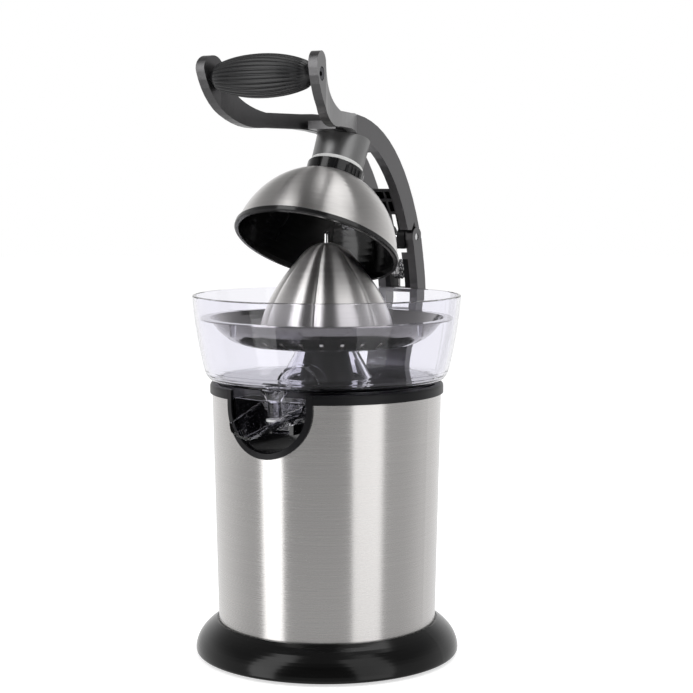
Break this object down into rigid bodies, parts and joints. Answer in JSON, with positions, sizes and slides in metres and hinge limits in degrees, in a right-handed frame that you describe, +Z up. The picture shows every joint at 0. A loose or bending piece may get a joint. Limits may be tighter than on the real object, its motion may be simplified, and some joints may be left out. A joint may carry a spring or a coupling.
{
  "type": "citrus press juicer",
  "caption": "Electric citrus press: round steel motor base, clear bowl with spout, fluted steel cone and a hinged lever arm that lowers a steel dome.",
  "frame": {"origin": "centre of the base's resting face, on the axis of the motor base and cone", "axes": "+Z up, +Y towards the rear bracket and hinge, +X to the right when the spout faces the viewer"},
  "size_m": [0.1738, 0.2029, 0.3848],
  "materials": {
    "gloss_black": "gloss",
    "black_plastic": "satin",
    "black_rubber": "matte",
    "white_rubber": "satin",
    "brushed_steel": "brushed",
    "cast_metal": "satin, dark",
    "hub_metal": "satin",
    "bright_steel": "polished",
    "clear_plastic": "clear, gloss",
    "bronze": "machined",
    "laminated_steel": "plain",
    "copper": "wound wire",
    "gear_plastic": "satin",
    "circuit_board": "lacquered"
  },
  "bodies": {
    "machine": {"base_disc": "gloss_black", "bottom_cover": "black_plastic", "foot_ring": "black_rubber", "bottom_screws": "bright_steel", "tie_rods": "bright_steel", "steel_sleeve": "brushed_steel", "top_collar": "black_plastic", "recess_trim": "black_plastic", "recess_liner": "black_plastic", "top_deck": "black_plastic", "gear_case": "black_plastic", "gear_case_lid": "black_plastic", "case_screws": "bright_steel", "layshaft_axle": "bright_steel", "shaft_bushes": "bronze", "shaft_seal": "black_rubber", "motor_can": "laminated_steel", "motor_end_bell": "black_plastic", "motor_bushes": "bronze", "stator_core": "laminated_steel", "stator_coils": "copper", "control_board": "circuit_board", "micro_switch": "black_plastic", "cord_gland": "black_rubber", "juice_bowl": "clear_plastic", "bowl_tower": "clear_plastic", "strainer": "brushed_steel", "rear_bracket": "cast_metal", "bracket_screws": "bright_steel", "hinge_pin": "bright_steel", "spring_pin": "bright_steel", "lift_spring": "bright_steel", "spring_guard": "black_plastic", "spout_pin": "bright_steel", "press_spring": "bright_steel"},
    "press": {"press_rocker": "black_plastic"},
    "spindle": {"drive_shaft": "bright_steel", "output_gear": "gear_plastic", "drive_pin": "bright_steel", "cone_core": "gear_plastic", "reamer_cone": "brushed_steel", "tip_pin": "bright_steel"},
    "layshaft": {"layshaft_gear": "gear_plastic"},
    "rotor": {"rotor_core": "laminated_steel", "rotor_shaft": "bright_steel", "cooling_fan": "black_plastic"},
    "arm": {"arm_frame": "cast_metal", "arm_bridge": "black_plastic", "hinge_knuckle": "black_plastic", "dome_hub": "hub_metal", "seal_ring": "white_rubber", "grip": "black_rubber", "grip_rod": "bright_steel", "grip_screws": "bright_steel"},
    "dome": {"dome_shell": "brushed_steel", "dome_liner": "black_plastic", "neck_ring": "black_plastic"},
    "spout": {"spout_chute": "clear_plastic", "drip_pad": "white_rubber"}
  },
  "joints": [
    {"name": "arm_hinge", "type": "hinge", "parent": "machine", "child": "arm", "pos_m": [0, 0.095, 0.27], "axis": [-1, 0, 0], "range_deg": [-25.5, 60], "stiffness_Nm_per_rad": 3, "springref_deg": 6.88},
    {"name": "dome_twist", "type": "hinge", "parent": "arm", "child": "dome", "pos_m": [0, -0.0136, 0.2662], "axis": [0, 0.454, 0.891], "range_deg": [0, 50]},
    {"name": "press_slide", "type": "slide", "parent": "machine", "child": "press", "axis": [0, 0, 1], "range_m": [-0.0015, 0], "stiffness_N_per_m": 4000, "springref_m": 0.002},
    {"name": "cone_spin", "type": "hinge", "parent": "press", "child": "spindle", "pos_m": [0, 0, 0.2], "axis": [0, 0, 1], "continuous": true},
    {"name": "layshaft_spin", "type": "hinge", "parent": "machine", "child": "layshaft", "pos_m": [0, 0.036, 0.14], "axis": [0, 0, 1], "continuous": true},
    {"name": "rotor_spin", "type": "hinge", "parent": "machine", "child": "rotor", "pos_m": [0, 0, 0.085], "axis": [0, 0, 1], "continuous": true},
    {"name": "spout_tilt", "type": "hinge", "parent": "machine", "child": "spout", "pos_m": [0, -0.0532, 0.1537], "axis": [-1, 0, 0], "range_deg": [0, 5]}
  ],
  "couplings": [
    {"joint": "layshaft_spin", "follows": "cone_spin", "ratio": -3},
    {"joint": "rotor_spin", "follows": "cone_spin", "ratio": 9}
  ]
}
